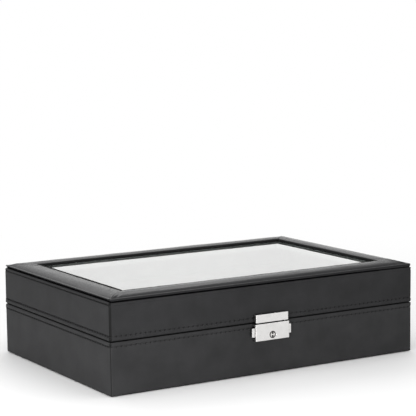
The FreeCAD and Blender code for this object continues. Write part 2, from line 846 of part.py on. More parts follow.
# ---------------------------------------------------------------- the key
def make_key():
    """A round-bowed key with a two-pronged end, flat on its cushion."""
    key = sub_part("PartDesign::Body", "key")
    thick = size.bow_thickness
    centre = (ZERO, ZERO)
    pad(key, "XY_Plane", ZERO, thick, circles=[(centre, size.bow_radius)])
    chamfer_edges(key, size.bow_recess, lambda edge: len(edge.Vertexes) == 1)
    shoulder_end = size.bow_radius + size.shoulder_length
    half = size.shoulder_width / 2
    low, high = size.bow_recess, thick - size.bow_recess
    pad(key, "XY_Plane", low, high, [rectangle(half, -half, shoulder_end, half)])
    disc = size.bow_radius - size.bow_rim
    for start, end in ((ZERO, low), (high, thick)):
        pocket(key, "XY_Plane", start, end, circles=[(centre, disc)])
    hole = ((-size.bow_hole_offset, ZERO), size.bow_hole_radius)
    pocket(key, "XY_Plane", ZERO, thick, circles=[hole])

    blade = size.prong_hole_width - size.key_play * 2
    low = (thick - blade) / 2
    high = low + blade
    half = size.blade_width / 2
    blade_end = shoulder_end + size.blade_length
    pad(key, "XY_Plane", low, high, [rectangle(shoulder_end, -half, blade_end, half)])
    half_groove = size.blade_groove_width / 2
    groove = rectangle(shoulder_end, -half_groove, blade_end, half_groove)
    depth = size.blade_groove_depth
    for start, end in ((low, low + depth), (high - depth, high)):
        pocket(key, "XY_Plane", start, end, [groove])
    prong_end = blade_end + size.prong_hole_depth - size.key_play * 2
    slot_half = size.prong_bar / 2 + size.key_play
    outer = slot_half + size.prong_hole_height - size.key_play * 2
    prongs = [
        rectangle(blade_end, slot_half, prong_end, outer),
        rectangle(blade_end, -outer, prong_end, -slot_half),
    ]
    pad(key, "XY_Plane", low, high, prongs)

    half_way = (prong_end - size.bow_radius) / 2
    cell_x = half_length - inner - cell_length / 2
    cell_y = inner + cell_depth / 2 - half_depth
    place(key, cell_x - half_way, cell_y, cushion_top + size.key_clearance)


# ---------------------------------------------------------------- the whole case
def make_everything():
    make_base()
    make_base_leather()
    make_base_linings()
    make_dividers()
    make_cushions()
    make_lid()
    make_lid_leather()
    make_top_frame()
    make_glazing()
    make_padded_frame()
    for name, centre in zip(("left", "right"), hinge_centres):
        make_hinge(name, centre)
    make_back_plate()
    make_case()
    make_barrel()
    make_plug()
    make_button("left", -1)
    make_button("right", 1)
    make_hasp()
    make_key()
    doc.recompute()


def write_parts():
    """Refuse a failed feature or an unsound solid, then write every piece to its file."""
    for item in doc.Objects:
        if "Invalid" in item.State or "Error" in item.State:
            raise ValueError(f"{item.Label} failed: {item.State}")
    for piece in sub_parts:
        if piece.Shape.isNull() or not piece.Shape.isValid():
            raise ValueError(f"{piece.Label} has no sound shape")
    os.makedirs("parts", exist_ok=True)
    for piece in sub_parts:
        piece.Shape.exportStep(f"parts/{piece.Label}.step")


make_everything()
write_parts()
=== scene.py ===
import math
import random
from bisect import bisect_right

import bmesh
import bpy
from mathutils import Matrix, Vector, noise


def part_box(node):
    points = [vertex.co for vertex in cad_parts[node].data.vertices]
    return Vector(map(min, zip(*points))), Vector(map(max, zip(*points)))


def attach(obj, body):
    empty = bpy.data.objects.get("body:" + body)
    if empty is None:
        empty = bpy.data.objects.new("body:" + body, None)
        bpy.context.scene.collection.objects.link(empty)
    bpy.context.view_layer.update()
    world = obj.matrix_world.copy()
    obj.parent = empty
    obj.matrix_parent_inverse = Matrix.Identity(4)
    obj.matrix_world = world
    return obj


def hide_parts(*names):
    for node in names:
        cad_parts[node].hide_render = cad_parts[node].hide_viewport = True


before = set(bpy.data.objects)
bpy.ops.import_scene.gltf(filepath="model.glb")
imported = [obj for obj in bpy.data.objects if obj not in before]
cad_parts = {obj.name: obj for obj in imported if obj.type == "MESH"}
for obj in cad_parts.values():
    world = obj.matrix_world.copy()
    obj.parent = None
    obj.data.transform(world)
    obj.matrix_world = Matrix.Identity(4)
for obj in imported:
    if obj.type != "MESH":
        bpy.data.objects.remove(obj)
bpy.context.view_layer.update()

# The looks of a leather-covered cufflink box with a glazed lid. Lengths in the functions are
# millimetres, the same as on the box's drawing, and become metres when a mesh is made.
# Lengths inside a material or of the room are metres, Blender's own unit.
MM = 0.001


def node_box(name):
    """A node's two corners at rest, in millimetres."""
    low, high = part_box(name)
    return Vector(low) / MM, Vector(high) / MM


BASE_LOW, BASE_HIGH = node_box("base_leather_wrap")
LID_LOW, LID_HIGH = node_box("lid_leather_wrap")
PAD_LOW, PAD_HIGH = node_box("padded_frame")
HALF_X, HALF_Y = BASE_HIGH.x, BASE_HIGH.y
HINGE_LEAVES = [node_box(f"hinge_base_leaf_{name}") for name in ("left", "right")]

# The sides of the box, in the order in which a route passes them.
FRONT, RIGHT, REAR, LEFT = range(4)

# The covered walls, from outside to inside, and how far leather comes down inside them.
LEATHER = 0.8
BOARD = 7.0
WALL = LEATHER + BOARD
INNER = WALL + LEATHER
TURN_IN = 10.0

# The leather skins: the steps of their mesh along the box, up worked and plain leather and
# inside, and the radii of their folds.
CORNER = 1.5
PATH_STEP = 0.5
FINE, COARSE, INSIDE = 0.2, 4.0, 3.0
FOOT, RIM, LIP, TOP_FOLD = 1.0, 1.2, 0.6, 1.1
RIM_FLAT = 3.0
ON_FACE = 0.05
HIDE_WANDER = (22.0, 0.08)
DEEPEST = LEATHER - 0.06

# The recess of the rim under each hinge leaf.
HINGE_SEAT, SEAT_DEPTH, SEAT_PLAY, SEAT_STEP = 7.05, 1.05, 0.6, 0.1

# The crease below the lid's top fold: it is deeper on the sides and higher on the left.
EDGE_DROP, EDGE_ZONE, EDGE_WIDTH = 2.1, 1.2, 0.5
SIDE_EDGE, FRONT_EDGE = 0.9, 0.3
LEFT_EDGE_RISE = 0.6

# The corner seams, how far edge paint reaches from the corner seams, how far black, partly
# edge paint and partly painted shade of the seam, reaches from the rim where lid and base
# meet, and how far black painted shade reaches along the crease.
CORNER_SEAM, SEAM_WIDTH = 0.42, 0.2
BASE_SEAM_PAINT, LID_SEAM_PAINT = 0.9, 1.5
RIM_SHADE_PAINT = 0.7
CREASE_SHADE_PAINT = 0.4

# The stitched rows: their thread, and how they pull the leather in and let it swell.
STITCH_PITCH = 4.4
STITCH_LENGTH = 3.0
STITCH_DROP = 4.0
STITCH_STRAY = 0.08
STITCH_TILT = 0.12
THREAD = 0.3
ROW_WIDTH, ROW_ZONE = 0.6, 1.6
SIDE_PULL, FRONT_PULL = 0.5, 0.02
SIDE_SWELL, FRONT_SWELL = 0.35, 0.2
HOLE_DEPTH, HOLE_REACH = 1.2, 0.65

# The padded border: how far it stands out, its bed, the drop of its skirt on the front and
# its rise on the left, and how the inner part of its crown widens on the left.
PAD_BULGE = 0.25
PAD_CORNER, PAD_STEP = 1.5, 1.0
PAD_BED = 1.95
RAIL_INSET = 2.2
SKIRT_DROP, SKIRT_RISE = 0.75, 0.5
SAG_FROM, SAG_RUN = 0.8, 0.2
BEAD_RISE = 0.3
CROWN_TURN, CROWN_RUN, CROWN_SHIFT = 12.0, 8.5, 1.0
MITRE_DEPTH, MITRE_WIDTH, MITRE_REACH = 0.3, 1.1, 6
RUCK_REACH = 16.0

# The felt strip between border and pane, and the pane in its rebate.
STRIP_CORNER, STRIP_STEP = 2.2, 2.0
STRIP_INSET, STRIP_END = 20.4, 22.3
STRIP_RISE, STRIP_EDGE, STRIP_SHIFT = 0.2, 0.4, 2.0
REBATE_FACING = 12.0
PANE_CLARITY = 1.38

# The cells, and the pillows that are blown up and pressed into them.
CELL_COLUMNS, CELL_ROWS = 6, 4
CELL_PLAY = 0.4
DIVIDER = 2.4
PILLOW_PATTERNS = 4
PILLOW_VOXEL = 2.4
PILLOW_START = 4.0
PILLOW_SWELL = 3.0
CLOTH_STEPS = 20
DRAWN_IN = 0.035
CROWNED = 0.13
UPPER_PART = 0.35
SLOT_DEPTH, SLOT_WIDTH, SLOT_SHARE = 4.6, 1.2, 0.36

# The ring round the plug: radii, and depths from the case's face. The hinge screws.
RING_INNER, RING_OUTER, RING_CHAMFER = 2.1, 2.7, 0.12
RING_LOW, RING_EDGE, RING_FACE = 0.3, -0.02, -0.1
SCREW_RADIUS = 1.9
SCREW_FROM_END, SCREW_FROM_SIDE = 5.5, 3.4
SCREW_PROUD, SCREW_SUNK = 0.12, 0.4
CROSS_HALF, CROSS_REACH, CROSS_DEPTH = 0.24, 1.15, 0.5


# ------------------------------------------------------------------ meshes
def make_piece(name, verts, faces, materials):
    """A smooth mesh object from millimetre points."""
    mesh = bpy.data.meshes.new(name)
    mesh.from_pydata([tuple(c * MM for c in v) for v in verts], [], faces)
    mesh.validate()
    for material in materials:
        mesh.materials.append(material)
    mesh.polygons.foreach_set("use_smooth", [True] * len(mesh.polygons))
    piece = bpy.data.objects.new(name, mesh)
    bpy.context.scene.collection.objects.link(piece)
    return piece


def tidy(piece):
    """Weld points that fell together and turn every face outward."""
    shape = bmesh.new()
    shape.from_mesh(piece.data)
    bmesh.ops.remove_doubles(shape, verts=shape.verts, dist=0.002 * MM)
    bmesh.ops.recalc_face_normals(shape, faces=shape.faces)
    shape.to_mesh(piece.data)
    shape.free()


class Route:
    """Stations round a rounded rectangle, anticlockwise from the front's left corner.
    A station knows its side, its share of that side or of its corner, and how far it
    has come, so that a band can be laid at any inset."""

    ALONG = ((1, 0), (0, 1), (-1, 0), (0, -1))
    CORNER_STEPS = 6

    def __init__(self, half_x, half_y, radius, step):
        self.half = (half_x, half_y)
        self.radius = radius
        self.stations = []
        travelled = 0.0
        for side, along in enumerate(self.ALONG):
            run = 2 * (half_x if along[0] else half_y) - 2 * radius
            count = max(2, round(run / step))
            for index in range(count + 1):
                share = index / count
                self.stations.append((side, share, None, travelled + run * index / count))
            travelled += run
            arc = math.pi / 2 * radius
            for index in range(1, self.CORNER_STEPS):
                turn = index / self.CORNER_STEPS
                mark = travelled + arc * index / self.CORNER_STEPS
                self.stations.append((side, 1.0, turn, mark))
            travelled += arc
        self.length = travelled
        self.marks = [station[3] for station in self.stations]

    def at(self, travelled, inset):
        """The place a distance along the route at an inset."""
        travelled %= self.length
        index = max(0, bisect_right(self.marks, travelled) - 1)
        here = self.stations[index]
        there = self.stations[(index + 1) % len(self.stations)]
        span = (there[3] if there[3] > here[3] else self.length) - here[3]
        share = (travelled - here[3]) / span if span > 1e-6 else 0.0
        return self.point(here, inset).lerp(self.point(there, inset), share)

    def point(self, station, inset):
        """The place of a station at an inset from the box's side."""
        side, share, turn, _ = station
        along = Vector(self.ALONG[side])
        out = Vector((along.y, -along.x))
        half_run = self.half[0] if along.x else self.half[1]
        half_out = self.half[1] if along.x else self.half[0]
        bend = max(self.radius, inset)
        centre = along * ((half_run - bend) * (2 * share - 1)) + out * (half_out - bend)
        reach = max(0.0, self.radius - inset) if inset > 0 else self.radius - inset
        if turn is None:
            return centre + out * reach
        angle = math.pi / 2 * turn
        return centre + (out * math.cos(angle) + along * math.sin(angle)) * reach


def band(name, route, section, materials, shape, closed=True):
    """Sweep a section of (inset, height) points along a route, letting shape move each."""
    verts, faces = [], []
    width = len(section)
    for station in route.stations:
        for place, (inset, height) in enumerate(section):
            inset, height = shape(station, place, inset, height)
            spot = route.point(station, inset)
            verts.append((spot.x, spot.y, height))
    faces = rolled_faces(len(route.stations), width, closed)
    piece = make_piece(name, verts, faces, materials)
    tidy(piece)
    return piece


def rolled_faces(count, width, closed=True):
    """The faces of a ring of sections, each of them a loop if it is closed."""
    faces = []
    for i in range(count):
        nxt = (i + 1) % count
        for j in range(width if closed else width - 1):
            k = (j + 1) % width
            faces.append((i * width + j, nxt * width + j, nxt * width + k, i * width + k))
    return faces


def arc_points(centre, radius, start, end, count):
    """Section points on an arc; angles in degrees, 0 towards larger insets."""
    points = []
    for index in range(count + 1):
        angle = math.radians(start + (end - start) * index / count)
        x, y = radius * math.cos(angle), radius * math.sin(angle)
        points.append((centre[0] + x, centre[1] + y))
    return points


def levels(inset, low, high, step):
    """Section points at an inset from low up to high, both left out, about a step apart."""
    count = max(1, round(abs(high - low) / step))
    return [(inset, low + (high - low) * index / count) for index in range(1, count)]


# ------------------------------------------------------------------ materials
def new_material(name):
    """A node material, its tree, its shader and the place on the object."""
    material = bpy.data.materials.new(name)
    material.use_nodes = True
    tree = material.node_tree
    return material, tree, tree.nodes["Principled BSDF"], object_place(tree)


def node(tree, kind, inputs=None, **settings):
    """A node with its inputs linked where they are sockets, and set where they aren't."""
    made = tree.nodes.new(kind)
    for key, value in settings.items():
        setattr(made, key, value)
    for key, value in (inputs or {}).items():
        if isinstance(value, bpy.types.NodeSocket):
            tree.links.new(value, made.inputs[key])
        else:
            made.inputs[key].default_value = value
    return made


def set_surface(surface, **values):
    """Link or set the shader's own sockets, named with underscores for spaces."""
    for key, value in values.items():
        socket = surface.inputs[key.replace("_", " ")]
        if isinstance(value, bpy.types.NodeSocket):
            surface.id_data.links.new(value, socket)
        else:
            socket.default_value = value


def object_place(tree):
    """The place on the object, in metres."""
    return node(tree, "ShaderNodeTexCoord").outputs["Object"]


def grain(tree, where, scale, detail):
    """A noise of greys."""
    inputs = {"Vector": where, "Scale": scale, "Detail": detail}
    return node(tree, "ShaderNodeTexNoise", inputs).outputs["Fac"]


def ramp(tree, source, low, high):
    """Greys or colours that run from one (position, tone) stop to another."""
    made = node(tree, "ShaderNodeValToRGB", {"Fac": source})
    for element, (position, tone) in zip(made.color_ramp.elements, (low, high)):
        element.position = position
        element.color = (*((tone,) * 3 if isinstance(tone, (int, float)) else tone), 1.0)
    return made.outputs["Color"]


def reckon(tree, operation, first, second):
    """The result of a Math node."""
    return node(tree, "ShaderNodeMath", {0: first, 1: second}, operation=operation).outputs[0]


def bump(tree, height, strength, distance, **normal):
    """A bumped normal, on top of another where one is given as Normal."""
    inputs = {"Height": height, "Strength": strength, "Distance": distance, **normal}
    return node(tree, "ShaderNodeBump", inputs).outputs["Normal"]


def tinted(tree, colour, shade):
    """A colour multiplied by a shade."""
    return node(
        tree, "ShaderNodeMix", {"Factor": 1.0, 6: colour, 7: shade},
        data_type="RGBA", blend_type="MULTIPLY",
    ).outputs[2]


def scaled(tone, share):
    """A share of a colour."""
    return tuple(c * share for c in tone)


def paint_fold_shade(tree, colour, reach, darkest=0.03):
    """Painted shade: a colour that goes dark, down to a share of itself, in narrow gaps, holes
    and folds, as far as ambient occlusion finds them closed in.
    """
    gap = node(tree, "ShaderNodeAmbientOcclusion", {"Distance": reach}, samples=8)
    return tinted(tree, colour, ramp(tree, gap.outputs["AO"], (0.35, darkest), (0.85, 1.0)))


def leather_material(name, tone, roughness, gloss, shade_reach, bumped=0.22):
    """Coated leather: fine pebbles, faint creases, a mottled hide, a sheen that varies a
    little, and painted shade that darkens the colour in folds, gaps and holes that are closed
    in."""
    material, tree, surface, where = new_material(name)
    warp = node(tree, "ShaderNodeTexNoise", {"Vector": where, "Scale": 350.0, "Detail": 2.0})
    shift = node(
        tree, "ShaderNodeVectorMath",
        {0: warp.outputs["Color"], 1: (0.0006, 0.0006, 0.0006)}, operation="MULTIPLY",
    ).outputs[0]
    warped = node(tree, "ShaderNodeVectorMath", {0: where, 1: shift}, operation="ADD")
    pebbles = node(
        tree, "ShaderNodeTexVoronoi", {"Vector": warped.outputs[0], "Scale": 1000.0 / 0.9},
        feature="DISTANCE_TO_EDGE",
    ).outputs["Distance"]
    domes = ramp(tree, pebbles, (0.0, 0.0), (0.22, 1.0))
    creases = grain(tree, where, 60.0, 5.0)
    patches = grain(tree, where, 14.0, 3.0)
    hide = ramp(tree, patches, (0.3, scaled(tone, 0.82)), (0.7, tone))
    mottled = tinted(tree, hide, ramp(tree, creases, (0.35, 0.82), (0.65, 1.0)))
    fine = bump(tree, domes, bumped, 0.00008)
    set_surface(
        surface,
        # Painted shade: the colour darkens in folds, gaps and needle holes.
        Base_Color=paint_fold_shade(tree, mottled, shade_reach),
        Roughness=ramp(tree, patches, (0.3, roughness[0]), (0.7, roughness[1])),
        Normal=bump(tree, creases, 0.25, 0.0004, Normal=fine),
        Specular_IOR_Level=gloss,
    )
    return material


def velvet_material(name, tone, pile=0.35, shade_reach=0.0):
    """Short-pile velvet: a soft sheen, a brushed nap, tiny tufts and, where asked, painted
    shade in folds.
    """
    material, tree, surface, where = new_material(name)
    nap = grain(tree, where, 45.0, 4.0)
    tufts = grain(tree, where, 2600.0, 2.0)
    colour = ramp(tree, nap, (0.35, scaled(tone, 0.86)), (0.65, tone))
    # Painted shade, where asked: darker in folds and slots.
    if shade_reach:
        colour = paint_fold_shade(tree, colour, shade_reach, darkest=0.3)
    set_surface(
        surface,
        Base_Color=colour,
        Normal=bump(tree, tufts, pile, 0.0002),
        Roughness=0.95,
        Sheen_Weight=0.6,
        Sheen_Roughness=0.4,
        Sheen_Tint=(1.0, 1.0, 1.0, 1.0),
    )
    return material


def nickel_material(name, tone, roughness, brush=0.0):
    """Plated metal: soft blotches of roughness, fine brush lines, rounded edges and painted
    shade in narrow gaps.
    """
    material, tree, surface, where = new_material(name)
    blotches = grain(tree, where, 180.0, 3.0)
    plate = ramp(tree, blotches, (0.3, scaled(tone, 0.93)), (0.6, tone))
    soft = node(tree, "ShaderNodeBevel", {"Radius": 0.00035}, samples=6).outputs["Normal"]
    stretch = {"Vector": where, "Scale": (40.0, 900.0, 9000.0)}
    lines = grain(tree, node(tree, "ShaderNodeMapping", stretch).outputs[0], 1.0, 2.0)
    set_surface(
        surface,
        # Painted shade: darker in narrow gaps and holes.
        Base_Color=paint_fold_shade(tree, plate, 0.003),
        Roughness=ramp(tree, blotches, (0.3, roughness[0]), (0.7, roughness[1])),
        Normal=bump(tree, lines, brush, 0.00003, Normal=soft),
        Metallic=1.0,
    )
    return material


def thread_material(name, tone):
    """Waxed thread: two plies twisted round each other."""
    material, tree, surface, where = new_material(name)
    twist = node(
        tree, "ShaderNodeTexWave", {"Vector": where, "Scale": 700.0, "Distortion": 1.5},
        bands_direction="DIAGONAL",
    ).outputs["Fac"]
    set_surface(
        surface,
        Base_Color=ramp(tree, twist, (0.2, scaled(tone, 0.5)), (0.8, tone)),
        Normal=bump(tree, twist, 0.5, 0.0001),
        Roughness=0.6,
        Specular_IOR_Level=0.2,
    )
    return material


def board_material(name, dark, light):
    """Pressed fibreboard, seen only in cuts."""
    material, tree, surface, where = new_material(name)
    fibres = grain(tree, where, 900.0, 4.0)
    set_surface(
        surface, Base_Color=ramp(tree, fibres, (0.3, dark), (0.7, light)), Roughness=0.85
    )
    return material


def rebate_material(name, black, facing):
    """The rails that carry the pane: blackened outside, faced white in the pane's rebate."""
    material, tree, surface, where = new_material(name)
    place = node(tree, "ShaderNodeSeparateXYZ", {"Vector": where}).outputs
    depths = []
    for axis, half in (("X", HALF_X), ("Y", HALF_Y)):
        away = node(tree, "ShaderNodeMath", {0: place[axis]}, operation="ABSOLUTE").outputs[0]
        depths.append(reckon(tree, "SUBTRACT", half * MM, away))
    facing_from, facing_to = REBATE_FACING * MM, (REBATE_FACING + 1) * MM
    faced = node(
        tree, "ShaderNodeMapRange",
        {
            "Value": reckon(tree, "MINIMUM", *depths),
            "From Min": facing_from, "From Max": facing_to,
        },
    ).outputs[0]
    fibres = grain(tree, where, 900.0, 4.0)
    board = ramp(tree, faced, (0.0, black), (1.0, facing))
    matted = ramp(tree, fibres, (0.3, 0.6), (0.7, 1.0))
    set_surface(
        surface,
        Base_Color=tinted(tree, board, matted),
        Roughness=0.85,
        Specular_IOR_Level=0.1,
    )
    return material


def felt_material(name):
    """Black felt under the box and round the pane: matted fibres."""
    material, tree, surface, where = new_material(name)
    fibres = grain(tree, where, 1500.0, 5.0)
    set_surface(
        surface,
        Base_Color=ramp(tree, fibres, (0.3, 0.006), (0.7, 0.02)),
        Normal=bump(tree, fibres, 0.6, 0.0003),
        Roughness=1.0,
        Specular_IOR_Level=0.05,
    )
    return material


def glass_material(name):
    """A thin pane: clear straight through, with the mirror image of both its faces, which
    grows at low angles, laid on the face where the light comes in."""
    material = bpy.data.materials.new(name)
    material.use_nodes = True
    tree = material.node_tree
    tree.nodes.clear()
    haze = grain(tree, object_place(tree), 25.0, 3.0)
    single = node(tree, "ShaderNodeFresnel", {"IOR": 1.6}).outputs["Fac"]
    both = reckon(
        tree, "DIVIDE",
        reckon(tree, "MULTIPLY", single, 2.0), reckon(tree, "ADD", single, 1.0),
    )
    passed = reckon(tree, "SUBTRACT", 1.0, both)
    mirrored = reckon(tree, "SUBTRACT", 1.0, reckon(tree, "POWER", passed, PANE_CLARITY))
    leaving = node(tree, "ShaderNodeNewGeometry").outputs["Backfacing"]
    share = reckon(tree, "MULTIPLY", mirrored, reckon(tree, "SUBTRACT", 1.0, leaving))
    clear = node(tree, "ShaderNodeBsdfTransparent", {"Color": (0.965, 0.985, 0.975, 1.0)})
    smears = ramp(tree, haze, (0.3, 0.0), (0.8, 0.02))
    mirror = node(
        tree, "ShaderNodeBsdfGlossy", {"Color": (1.0, 1.0, 1.0, 1.0), "Roughness": smears}
    )
    mixed = node(
        tree, "ShaderNodeMixShader",
        {"Fac": share, 1: clear.outputs[0], 2: mirror.outputs[0]},
    )
    node(tree, "ShaderNodeOutputMaterial", {"Surface": mixed.outputs[0]})
    return material


SATIN, WAXED = (0.44, 0.54), (0.15, 0.2)
# The lid's leather is a darker copy of the base's: painted shade for the lid taking less light
# than the base. All three leathers carry painted shade in their folds.
BASE_LEATHER = leather_material("base_leather", (0.033, 0.033, 0.034), SATIN, 0.07, 0.0018)
SHADED_LID_LEATHER = leather_material("lid_leather", (0.027, 0.027, 0.028), SATIN, 0.07, 0.0018)
PAD_LEATHER = leather_material(
    "pad_leather", (0.015, 0.015, 0.016), WAXED, 0.11, 0.003, bumped=0.3
)
VELVET = velvet_material("pale_velvet", (0.80, 0.79, 0.77))
# Cushion velvet with painted shade in its folds and sewn slots.
CUSHION_VELVET = velvet_material("cushion_velvet", (0.82, 0.81, 0.79), pile=0.5, shade_reach=0.005)
SATIN_NICKEL = nickel_material("satin_nickel", (0.75, 0.74, 0.73), (0.2, 0.28), brush=0.4)
BRIGHT_NICKEL = nickel_material("bright_nickel", (0.74, 0.73, 0.71), (0.12, 0.2))
KEY_NICKEL = nickel_material("key_nickel", (0.76, 0.73, 0.68), (0.14, 0.26), brush=0.2)
SPRING_STEEL = nickel_material("spring_steel", (0.55, 0.55, 0.56), (0.2, 0.3))
BLACKENED = nickel_material("blackened_nickel", (0.012, 0.012, 0.013), (0.35, 0.5))
# Black edge paint, also laid as painted shade on the rim seam and along the side crease.
EDGE_PAINT_AND_SHADE = leather_material("edge_paint_and_shade", (0.006, 0.006, 0.006), (0.5, 0.6), 0.1, 0.0011)
BLACK_THREAD = thread_material("black_thread", (0.018, 0.018, 0.018))
BOARD_STOCK = board_material("fibreboard", (0.20, 0.13, 0.07), (0.34, 0.24, 0.15))
PANE_RAIL = rebate_material("pane_rail", 0.008, 0.8)
BLACK_FELT = felt_material("black_felt")
CLEAR_GLASS = glass_material("clear_glass")


def dress_nodes():
    """Give every CAD node its finished material."""
    finishes = {
        "bottom_felt": BLACK_FELT,
        "glass_pane": CLEAR_GLASS,
        "lock_case": SATIN_NICKEL,
        "hasp_cover": SATIN_NICKEL,
        "left_button": SATIN_NICKEL,
        "right_button": SATIN_NICKEL,
        "key": KEY_NICKEL,
        "left_button_spring": SPRING_STEEL,
        "right_button_spring": SPRING_STEEL,
        "base_lining": VELVET,
        "floor_lining": VELVET,
        "lid_lining": VELVET,
        "glass_retainer": VELVET,
        "base_leather_wrap": BASE_LEATHER,
        "lid_leather_wrap": SHADED_LID_LEATHER,
        "padded_frame": PAD_LEATHER,
    }
    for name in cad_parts:
        if name in finishes:
            finish = finishes[name]
        elif "_divider_" in name:
            finish = VELVET
        elif name.startswith("cushion_row"):
            finish = CUSHION_VELVET
        elif name.startswith("top_frame"):
            finish = PANE_RAIL
        elif name.endswith("_board"):
            finish = BOARD_STOCK
        else:
            finish = BRIGHT_NICKEL
        body = bpy.data.objects[name]
        body.data.materials.clear()
        body.data.materials.append(finish)


# ------------------------------------------------------------------ leather skins
def groove(height, centre, depth, width):
    """How far a stitched or creased line pulls the leather in at a height."""
    return depth * math.exp(-((height - centre) / width) ** 2)


def swell(height, start, end, rise):
    """A soft bulge between two heights."""
    share = (height - start) / (end - start)
    return rise * math.sin(math.pi * share) if 0 < share < 1 else 0.0


def wander(station, height, size, amount):
    """Slow unevenness of hide glued over board, not the same on any two sides."""
    side, _, _, travelled = station
    spot = Vector((travelled / size, height / size, side * 3.7))
    return noise.noise(spot) * amount


def corner_seam(station):
    """The butt seam down each upright corner, where two pieces of leather meet."""
    turn = station[2]
    if turn is None:
        return 0.0
    return CORNER_SEAM * math.exp(-(((turn - 0.5) / SEAM_WIDTH) ** 2))


def deepest(station):
    """How far the leather may sink before the board under it shows."""
    return DEEPEST if station[2] is None else CORNER_SEAM


def by_side(values, station):
    """The value of the station's side (front, right, rear, left), turning into the next
    side's round the corner."""
    side, _, turn, _ = station
    here, there = values[side], values[(side + 1) % 4]
    return here if turn is None else here + (there - here) * turn


def finish_skin(skin, seam, crease=None):
    """Black edge paint in the seams down the corners; black along the rim where lid and base
    meet, partly edge paint and partly painted shade of the seam; painted shade in a crease
    down the sides; velvet facing inside the walls."""
    meeting = (BASE_HIGH.z + LID_LOW.z) / 2
    skin.data.materials.append(EDGE_PAINT_AND_SHADE)
    skin.data.materials.append(VELVET)
    for face in skin.data.polygons:
        x, y = HALF_X - abs(face.center.x) / MM, HALF_Y - abs(face.center.y) / MM
        z = face.center.z / MM
        # Corner seams get edge paint; the band at the rim where lid and base meet gets black,
        # partly edge paint and partly painted shade of the seam.
        if max(x, y) < seam or abs(z - meeting) < RIM_SHADE_PAINT:
            face.material_index = 1
        # Painted shade: a black line along the crease on the left and right sides.
        elif crease and x < LEATHER and abs(z - crease) < CREASE_SHADE_PAINT:
            face.material_index = 1
        elif min(x, y) > INNER - 0.1:
            face.material_index = 2


def in_hinge_seat(station, inset):
    """Whether a point of the rim lies under a hinge leaf."""
    side, share, turn, _ = station
    if side != REAR or turn is not None or inset > HINGE_SEAT:
        return False
    x = (HALF_X - max(CORNER, inset)) * (1 - 2 * share)
    return any(low.x - SEAT_PLAY < x < high.x + SEAT_PLAY for low, high in HINGE_LEAVES)


def stitch_pitch(route):
    """A whole number of stitches round the box and the pitch that gives."""
    count = round(route.length / STITCH_PITCH)
    return count, route.length / count


def stitched_inset(route, station, height, row, seam):
    """The pull of one stitched row, its needle holes, and the bulge up to the rim."""
    side, _, _, travelled = station
    at_side = side in (RIGHT, LEFT)
    pitch = stitch_pitch(route)[1]
    off = (travelled + pitch / 2) % pitch - pitch / 2
    pull = groove(height, row, SIDE_PULL if at_side else FRONT_PULL, ROW_WIDTH)
    hole = groove(height, row, HOLE_DEPTH, ROW_WIDTH) * math.exp(-((off / HOLE_REACH) ** 2))
    return pull + hole - swell(height, row, seam, SIDE_SWELL if at_side else FRONT_SWELL)


def worked_inset(route, station, inset, height, row, seam, crease=0.0):
    """The inset of leather on the outer face: stitched, creased, seamed and uneven."""
    inset += stitched_inset(route, station, height, row, seam)
    inset += crease
    inset += corner_seam(station)
    return min(inset - wander(station, height, *HIDE_WANDER), deepest(station))


def make_base_skin():
    """The base's leather from under the box, over the rim and down inside."""
    route = Route(HALF_X, HALF_Y, CORNER, PATH_STEP)
    low, high = BASE_LOW.z, BASE_HIGH.z
    row = high - STITCH_DROP
    section = [(WALL, low), (FOOT + 0.2, low)]
    section += arc_points((FOOT, low + FOOT), FOOT, -90, -180, 4)
    section += levels(0.0, low + FOOT, row - ROW_ZONE, COARSE)
    section += levels(0.0, row - ROW_ZONE, high - RIM, FINE)
    section += arc_points((RIM, high - RIM), RIM, 180, 90, 7)
    section += [(RIM_FLAT, high)]
    section += [(HINGE_SEAT - SEAT_STEP, high), (HINGE_SEAT + SEAT_STEP, high)]
    section += arc_points((INNER - LIP, high - LIP), LIP, 90, 0, 3)
    section += levels(INNER, high - LIP, high - TURN_IN, INSIDE)
    section += [(INNER, high - TURN_IN), (WALL, high - TURN_IN)]

    def shape(station, _, inset, height):
        if inset < ON_FACE and height > low + FOOT / 2:
            inset = worked_inset(route, station, inset, height, row, high - 0.2)
        if height > high - 1.0 and in_hinge_seat(station, inset):
            height = high - SEAT_DEPTH
        return inset, height

    skin = band("base_skin", route, section, [BASE_LEATHER], shape, closed=False)
    finish_skin(skin, BASE_SEAM_PAINT)
    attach(skin, "base")
    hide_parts("base_leather_wrap")
    make_stitches("base_stitches", "base", route, row)


